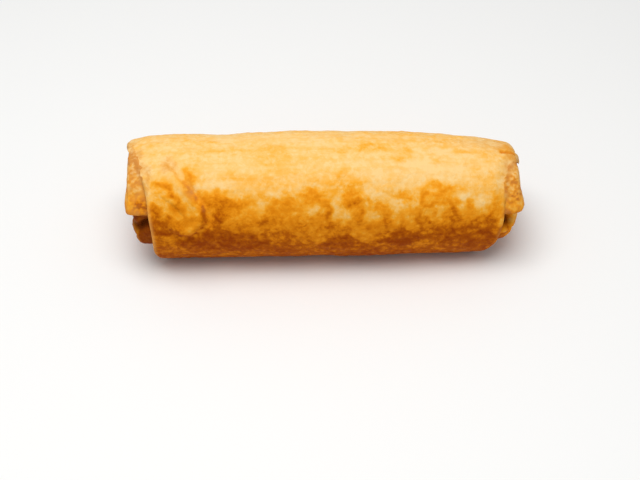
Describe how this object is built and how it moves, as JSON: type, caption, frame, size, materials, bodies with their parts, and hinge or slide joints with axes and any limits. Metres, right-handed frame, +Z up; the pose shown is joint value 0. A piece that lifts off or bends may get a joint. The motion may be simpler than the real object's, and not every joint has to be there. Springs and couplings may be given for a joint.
{
  "type": "chimichanga",
  "caption": "Deep-fried tortilla wrap: a closed golden roll with folded, tucked ends, lying on its flattened underside.",
  "frame": {"origin": "centre of the footprint's box, on the plane that the roll rests on", "axes": "+X along the roll, +Z up, -Y towards the side with the visible fold openings"},
  "size_m": [0.2002, 0.066, 0.0592],
  "materials": {
    "fried_tortilla": "fried wheat tortilla, mottled pale gold to deep amber, satin with a little oil"
  },
  "bodies": {
    "root": {"chimichanga": "fried_tortilla"}
  },
  "joints": []
}
